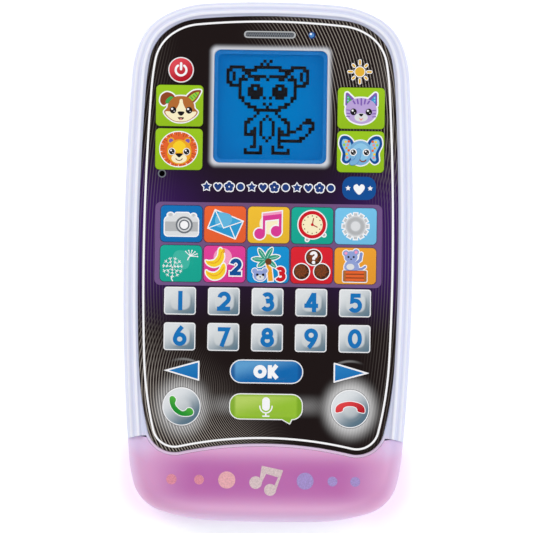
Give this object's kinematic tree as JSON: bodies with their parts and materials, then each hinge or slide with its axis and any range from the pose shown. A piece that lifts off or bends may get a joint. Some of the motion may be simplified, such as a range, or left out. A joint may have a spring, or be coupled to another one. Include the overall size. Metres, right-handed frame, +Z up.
{
  "type": "toy cell phone",
  "caption": "Hand-held toy phone with a blue display, press keys with pictures and digits, a light-up bottom end and a screwed battery door.",
  "frame": {"origin": "under the middle of the phone, on the surface it lies on", "axes": "+Y along the phone to its top end, +Z up and out of the screen, +X to the right as the user reads it"},
  "size_m": [0.0944, 0.17, 0.026],
  "materials": {
    "case_plastic": "satin lavender ABS, light moulded sheen",
    "light_bar_plastic": "translucent pink-magenta plastic, lit from inside",
    "printed_faceplate": "black printed plate with fine light line pattern and purple glow",
    "screen_window": "clear lens over a blue display",
    "lcd_module": "blue backlit liquid crystal display",
    "white_plastic": "plain white moulding",
    "rubber": "grey silicone",
    "circuit_board": "green solder mask",
    "chip_epoxy": "black potting blob",
    "speaker": "black cone in a dark frame",
    "zinc_steel": "bright zinc-plated steel",
    "led_epoxy": "clear epoxy",
    "battery_jacket": "printed foil jacket",
    "digit_keys": "silver with blue digits",
    "picture_keys": "bright printed pictures on coloured grounds",
    "face_keys": "green with printed animal faces",
    "power_key": "red with a white ring",
    "brightness_key": "printed sun on black",
    "blue_keys": "blue with a white edge",
    "green_key": "green with a white edge",
    "handset_keys": "silver domes with printed handsets"
  },
  "bodies": {
    "body": {"front_case": "case_plastic", "back_case": "case_plastic", "light_bar": "light_bar_plastic", "faceplate": "printed_faceplate", "screen_window": "screen_window", "lcd_module": "lcd_module", "lcd_tray": "white_plastic", "key_mat": "rubber", "main_pcb": "circuit_board", "chip_blob": "chip_epoxy", "speaker": "speaker", "microphone": "zinc_steel", "bar_led_left": "led_epoxy", "bar_led_right": "led_epoxy", "battery_1": "battery_jacket", "battery_2": "battery_jacket", "battery_spring_1": "zinc_steel", "battery_spring_2": "zinc_steel", "contact_bridge": "zinc_steel", "contact_positive": "zinc_steel", "contact_negative": "zinc_steel", "case_screw_1": "zinc_steel", "case_screw_2": "zinc_steel", "case_screw_3": "zinc_steel", "case_screw_4": "zinc_steel"},
    "battery_door": {"battery_door": "case_plastic"},
    "door_screw": {"door_screw": "zinc_steel"},
    "screw_clip": {"screw_clip": "zinc_steel"},
    "key_1": {"key_1": "digit_keys"},
    "key_2": {"key_2": "digit_keys"},
    "key_3": {"key_3": "digit_keys"},
    "key_4": {"key_4": "digit_keys"},
    "key_5": {"key_5": "digit_keys"},
    "key_6": {"key_6": "digit_keys"},
    "key_7": {"key_7": "digit_keys"},
    "key_8": {"key_8": "digit_keys"},
    "key_9": {"key_9": "digit_keys"},
    "key_0": {"key_0": "digit_keys"},
    "key_camera": {"key_camera": "picture_keys"},
    "key_mail": {"key_mail": "picture_keys"},
    "key_music": {"key_music": "picture_keys"},
    "key_clock": {"key_clock": "picture_keys"},
    "key_settings": {"key_settings": "picture_keys"},
    "key_garden": {"key_garden": "picture_keys"},
    "key_count": {"key_count": "picture_keys"},
    "key_beach": {"key_beach": "picture_keys"},
    "key_guess": {"key_guess": "picture_keys"},
    "key_pet": {"key_pet": "picture_keys"},
    "key_dog": {"key_dog": "face_keys"},
    "key_lion": {"key_lion": "face_keys"},
    "key_cat": {"key_cat": "face_keys"},
    "key_elephant": {"key_elephant": "face_keys"},
    "key_power": {"key_power": "power_key"},
    "key_brightness": {"key_brightness": "brightness_key"},
    "key_left": {"key_left": "blue_keys"},
    "key_ok": {"key_ok": "blue_keys"},
    "key_right": {"key_right": "blue_keys"},
    "key_talk": {"key_talk": "green_key"},
    "key_call": {"key_call": "handset_keys"},
    "key_hang_up": {"key_hang_up": "handset_keys"}
  },
  "joints": [
    {"name": "battery_door_hinge", "type": "hinge", "parent": "body", "child": "battery_door", "pos_m": [0, 0.0007, 0.00045], "axis": [1, 0, 0], "range_deg": [0, 35]},
    {"name": "door_screw_turn", "type": "hinge", "parent": "screw_clip", "child": "door_screw", "pos_m": [0, -0.03, 0], "axis": [0, 0, -1], "range_deg": [0, 1080]},
    {"name": "screw_clip_slide", "type": "slide", "parent": "battery_door", "child": "screw_clip", "axis": [0, 0, -1], "range_m": [0, 0.003]},
    {"name": "key_1_press", "type": "slide", "parent": "body", "child": "key_1", "axis": [0, 0, -1], "range_m": [0, 0.0008], "stiffness_N_per_m": 150, "springref_m": -0.0005},
    {"name": "key_2_press", "type": "slide", "parent": "body", "child": "key_2", "axis": [0, 0, -1], "range_m": [0, 0.0008], "stiffness_N_per_m": 150, "springref_m": -0.0005},
    {"name": "key_3_press", "type": "slide", "parent": "body", "child": "key_3", "axis": [0, 0, -1], "range_m": [0, 0.0008], "stiffness_N_per_m": 150, "springref_m": -0.0005},
    {"name": "key_4_press", "type": "slide", "parent": "body", "child": "key_4", "axis": [0, 0, -1], "range_m": [0, 0.0008], "stiffness_N_per_m": 150, "springref_m": -0.0005},
    {"name": "key_5_press", "type": "slide", "parent": "body", "child": "key_5", "axis": [0, 0, -1], "range_m": [0, 0.0008], "stiffness_N_per_m": 150, "springref_m": -0.0005},
    {"name": "key_6_press", "type": "slide", "parent": "body", "child": "key_6", "axis": [0, 0, -1], "range_m": [0, 0.0008], "stiffness_N_per_m": 150, "springref_m": -0.0005},
    {"name": "key_7_press", "type": "slide", "parent": "body", "child": "key_7", "axis": [0, 0, -1], "range_m": [0, 0.0008], "stiffness_N_per_m": 150, "springref_m": -0.0005},
    {"name": "key_8_press", "type": "slide", "parent": "body", "child": "key_8", "axis": [0, 0, -1], "range_m": [0, 0.0008], "stiffness_N_per_m": 150, "springref_m": -0.0005},
    {"name": "key_9_press", "type": "slide", "parent": "body", "child": "key_9", "axis": [0, 0, -1], "range_m": [0, 0.0008], "stiffness_N_per_m": 150, "springref_m": -0.0005},
    {"name": "key_0_press", "type": "slide", "parent": "body", "child": "key_0", "axis": [0, 0, -1], "range_m": [0, 0.0008], "stiffness_N_per_m": 150, "springref_m": -0.0005},
    {"name": "key_camera_press", "type": "slide", "parent": "body", "child": "key_camera", "axis": [0, 0, -1], "range_m": [0, 0.0008], "stiffness_N_per_m": 150, "springref_m": -0.0005},
    {"name": "key_mail_press", "type": "slide", "parent": "body", "child": "key_mail", "axis": [0, 0, -1], "range_m": [0, 0.0008], "stiffness_N_per_m": 150, "springref_m": -0.0005},
    {"name": "key_music_press", "type": "slide", "parent": "body", "child": "key_music", "axis": [0, 0, -1], "range_m": [0, 0.0008], "stiffness_N_per_m": 150, "springref_m": -0.0005},
    {"name": "key_clock_press", "type": "slide", "parent": "body", "child": "key_clock", "axis": [0, 0, -1], "range_m": [0, 0.0008], "stiffness_N_per_m": 150, "springref_m": -0.0005},
    {"name": "key_settings_press", "type": "slide", "parent": "body", "child": "key_settings", "axis": [0, 0, -1], "range_m": [0, 0.0008], "stiffness_N_per_m": 150, "springref_m": -0.0005},
    {"name": "key_garden_press", "type": "slide", "parent": "body", "child": "key_garden", "axis": [0, 0, -1], "range_m": [0, 0.0008], "stiffness_N_per_m": 150, "springref_m": -0.0005},
    {"name": "key_count_press", "type": "slide", "parent": "body", "child": "key_count", "axis": [0, 0, -1], "range_m": [0, 0.0008], "stiffness_N_per_m": 150, "springref_m": -0.0005},
    {"name": "key_beach_press", "type": "slide", "parent": "body", "child": "key_beach", "axis": [0, 0, -1], "range_m": [0, 0.0008], "stiffness_N_per_m": 150, "springref_m": -0.0005},
    {"name": "key_guess_press", "type": "slide", "parent": "body", "child": "key_guess", "axis": [0, 0, -1], "range_m": [0, 0.0008], "stiffness_N_per_m": 150, "springref_m": -0.0005},
    {"name": "key_pet_press", "type": "slide", "parent": "body", "child": "key_pet", "axis": [0, 0, -1], "range_m": [0, 0.0008], "stiffness_N_per_m": 150, "springref_m": -0.0005},
    {"name": "key_dog_press", "type": "slide", "parent": "body", "child": "key_dog", "axis": [0, 0, -1], "range_m": [0, 0.0008], "stiffness_N_per_m": 150, "springref_m": -0.0005},
    {"name": "key_lion_press", "type": "slide", "parent": "body", "child": "key_lion", "axis": [0, 0, -1], "range_m": [0, 0.0008], "stiffness_N_per_m": 150, "springref_m": -0.0005},
    {"name": "key_cat_press", "type": "slide", "parent": "body", "child": "key_cat", "axis": [0, 0, -1], "range_m": [0, 0.0008], "stiffness_N_per_m": 150, "springref_m": -0.0005},
    {"name": "key_elephant_press", "type": "slide", "parent": "body", "child": "key_elephant", "axis": [0, 0, -1], "range_m": [0, 0.0008], "stiffness_N_per_m": 150, "springref_m": -0.0005},
    {"name": "key_power_press", "type": "slide", "parent": "body", "child": "key_power", "axis": [0, 0, -1], "range_m": [0, 0.0008], "stiffness_N_per_m": 150, "springref_m": -0.0005},
    {"name": "key_brightness_press", "type": "slide", "parent": "body", "child": "key_brightness", "axis": [0, 0, -1], "range_m": [0, 0.0008], "stiffness_N_per_m": 150, "springref_m": -0.0005},
    {"name": "key_left_press", "type": "slide", "parent": "body", "child": "key_left", "axis": [0, 0, -1], "range_m": [0, 0.0008], "stiffness_N_per_m": 150, "springref_m": -0.0005},
    {"name": "key_ok_press", "type": "slide", "parent": "body", "child": "key_ok", "axis": [0, 0, -1], "range_m": [0, 0.0008], "stiffness_N_per_m": 150, "springref_m": -0.0005},
    {"name": "key_right_press", "type": "slide", "parent": "body", "child": "key_right", "axis": [0, 0, -1], "range_m": [0, 0.0008], "stiffness_N_per_m": 150, "springref_m": -0.0005},
    {"name": "key_talk_press", "type": "slide", "parent": "body", "child": "key_talk", "axis": [0, 0, -1], "range_m": [0, 0.0008], "stiffness_N_per_m": 150, "springref_m": -0.0005},
    {"name": "key_call_press", "type": "slide", "parent": "body", "child": "key_call", "axis": [0, 0, -1], "range_m": [0, 0.0008], "stiffness_N_per_m": 150, "springref_m": -0.0005},
    {"name": "key_hang_up_press", "type": "slide", "parent": "body", "child": "key_hang_up", "axis": [0, 0, -1], "range_m": [0, 0.0008], "stiffness_N_per_m": 150, "springref_m": -0.0005}
  ],
  "couplings": [
    {"joint": "door_screw_turn", "follows": "screw_clip_slide", "rad_per_m": 6283.2}
  ]
}
